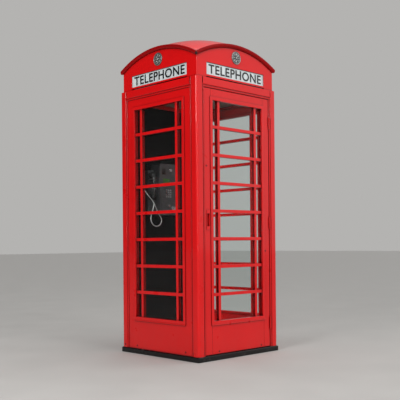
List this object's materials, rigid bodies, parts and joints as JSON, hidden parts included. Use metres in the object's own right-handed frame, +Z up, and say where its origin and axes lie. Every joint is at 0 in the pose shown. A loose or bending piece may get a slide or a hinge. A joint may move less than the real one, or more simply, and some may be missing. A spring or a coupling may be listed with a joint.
{
  "type": "telephone booth",
  "caption": "Square cast-iron street telephone kiosk with a domed roof, lit signs, three glazed walls, a hinged glazed door and a wall payphone with a corded handset.",
  "frame": {"origin": "centre of the base on the ground", "axes": "+Z up, the door faces -Y, the back wall and payphone are at +Y"},
  "size_m": [0.91, 0.91, 2.52],
  "materials": {
    "red_paint": "gloss red enamel over cast iron",
    "painted_timber": "gloss red enamel over teak",
    "black_plinth_paint": "gloss black bitumen paint",
    "concrete_floor": "trowelled concrete, worn and damp-stained",
    "window_glass": "clear toughened glass",
    "opal_sign": "opal acrylic with black lettering",
    "ceiling_paint": "semi-gloss cream paint",
    "dark_board": "satin black stove enamel",
    "grey_steel": "dark brushed stainless steel",
    "bright_steel": "bright satin stainless steel",
    "black_plastic": "moulded black ABS",
    "display_glass": "green liquid-crystal window behind glass"
  },
  "bodies": {
    "booth": {"base_plinth": "black_plinth_paint", "floor_slab": "concrete_floor", "door_frame": "red_paint", "back_frame": "red_paint", "back_panel": "red_paint", "side_frame_left": "red_paint", "side_frame_right": "red_paint", "window_bars_left": "red_paint", "window_bars_right": "red_paint", "window_glass_left": "window_glass", "window_glass_right": "window_glass", "glass_retainer_left": "red_paint", "glass_retainer_right": "red_paint", "roof_casting": "red_paint", "sign_glass_front": "opal_sign", "sign_glass_right": "opal_sign", "sign_glass_back": "opal_sign", "sign_glass_left": "opal_sign", "ceiling_panel": "ceiling_paint", "ceiling_lamp": "opal_sign", "frame_hinge_1": "red_paint", "frame_hinge_2": "red_paint", "frame_hinge_3": "red_paint", "backboard": "dark_board", "phone_housing": "grey_steel", "phone_front_plate": "grey_steel", "handset_rest": "grey_steel", "coin_slot_plate": "bright_steel", "display_window": "display_glass", "coin_box": "grey_steel", "cord_gland": "bright_steel", "handset_cord": "bright_steel"},
    "door": {"door_hinge_stile": "painted_timber", "door_latch_stile": "painted_timber", "door_top_rail": "painted_timber", "door_kick_panel": "painted_timber", "door_bars": "red_paint", "door_glass": "window_glass", "door_retainer": "red_paint", "door_pull": "red_paint", "door_hinge_1": "red_paint", "door_hinge_2": "red_paint", "door_hinge_3": "red_paint"},
    "handset": {"handset": "black_plastic"},
    "hook_lever": {"hook_lever": "bright_steel"},
    "release_button": {"release_button": "bright_steel"},
    "cash_door": {"cash_door": "grey_steel"},
    "coin_return_flap": {"coin_return_flap": "bright_steel"},
    "key_1": {"key_1": "bright_steel"},
    "key_2": {"key_2": "bright_steel"},
    "key_3": {"key_3": "bright_steel"},
    "key_4": {"key_4": "bright_steel"},
    "key_5": {"key_5": "bright_steel"},
    "key_6": {"key_6": "bright_steel"},
    "key_7": {"key_7": "bright_steel"},
    "key_8": {"key_8": "bright_steel"},
    "key_9": {"key_9": "bright_steel"},
    "key_10": {"key_10": "bright_steel"},
    "key_11": {"key_11": "bright_steel"},
    "key_12": {"key_12": "bright_steel"}
  },
  "joints": [
    {"name": "door_swing", "type": "hinge", "parent": "booth", "child": "door", "pos_m": [0.3687, -0.449, 1.05], "axis": [0, 0, 1], "range_deg": [0, 100]},
    {"name": "handset_lift", "type": "slide", "parent": "booth", "child": "handset", "axis": [0, 0, 1], "range_m": [0, 0.1]},
    {"name": "hook_rise", "type": "hinge", "parent": "booth", "child": "hook_lever", "pos_m": [-0.2003, 0.3844, 1.4267], "axis": [-1, 0, 0], "range_deg": [0, 10]},
    {"name": "key_1_press", "type": "slide", "parent": "booth", "child": "key_1", "axis": [0, 1, 0], "range_m": [0, 0.0025], "stiffness_N_per_m": 400},
    {"name": "key_2_press", "type": "slide", "parent": "booth", "child": "key_2", "axis": [0, 1, 0], "range_m": [0, 0.0025], "stiffness_N_per_m": 400},
    {"name": "key_3_press", "type": "slide", "parent": "booth", "child": "key_3", "axis": [0, 1, 0], "range_m": [0, 0.0025], "stiffness_N_per_m": 400},
    {"name": "key_4_press", "type": "slide", "parent": "booth", "child": "key_4", "axis": [0, 1, 0], "range_m": [0, 0.0025], "stiffness_N_per_m": 400},
    {"name": "key_5_press", "type": "slide", "parent": "booth", "child": "key_5", "axis": [0, 1, 0], "range_m": [0, 0.0025], "stiffness_N_per_m": 400},
    {"name": "key_6_press", "type": "slide", "parent": "booth", "child": "key_6", "axis": [0, 1, 0], "range_m": [0, 0.0025], "stiffness_N_per_m": 400},
    {"name": "key_7_press", "type": "slide", "parent": "booth", "child": "key_7", "axis": [0, 1, 0], "range_m": [0, 0.0025], "stiffness_N_per_m": 400},
    {"name": "key_8_press", "type": "slide", "parent": "booth", "child": "key_8", "axis": [0, 1, 0], "range_m": [0, 0.0025], "stiffness_N_per_m": 400},
    {"name": "key_9_press", "type": "slide", "parent": "booth", "child": "key_9", "axis": [0, 1, 0], "range_m": [0, 0.0025], "stiffness_N_per_m": 400},
    {"name": "key_10_press", "type": "slide", "parent": "booth", "child": "key_10", "axis": [0, 1, 0], "range_m": [0, 0.0025], "stiffness_N_per_m": 400},
    {"name": "key_11_press", "type": "slide", "parent": "booth", "child": "key_11", "axis": [0, 1, 0], "range_m": [0, 0.0025], "stiffness_N_per_m": 400},
    {"name": "key_12_press", "type": "slide", "parent": "booth", "child": "key_12", "axis": [0, 1, 0], "range_m": [0, 0.0025], "stiffness_N_per_m": 400},
    {"name": "release_button_press", "type": "slide", "parent": "booth", "child": "release_button", "axis": [0, 1, 0], "range_m": [0, 0.004], "stiffness_N_per_m": 500},
    {"name": "cash_door_swing", "type": "hinge", "parent": "booth", "child": "cash_door", "pos_m": [-0.151, 0.2924, 1.204], "axis": [0, 0, -1], "range_deg": [0, 100]},
    {"name": "flap_swing", "type": "hinge", "parent": "booth", "child": "coin_return_flap", "pos_m": [-0.005, 0.2964, 1.1998], "axis": [1, 0, 0], "range_deg": [0, 50]}
  ],
  "couplings": [
    {"joint": "hook_rise", "follows": "handset_lift", "rad_per_m": 1.74}
  ]
}
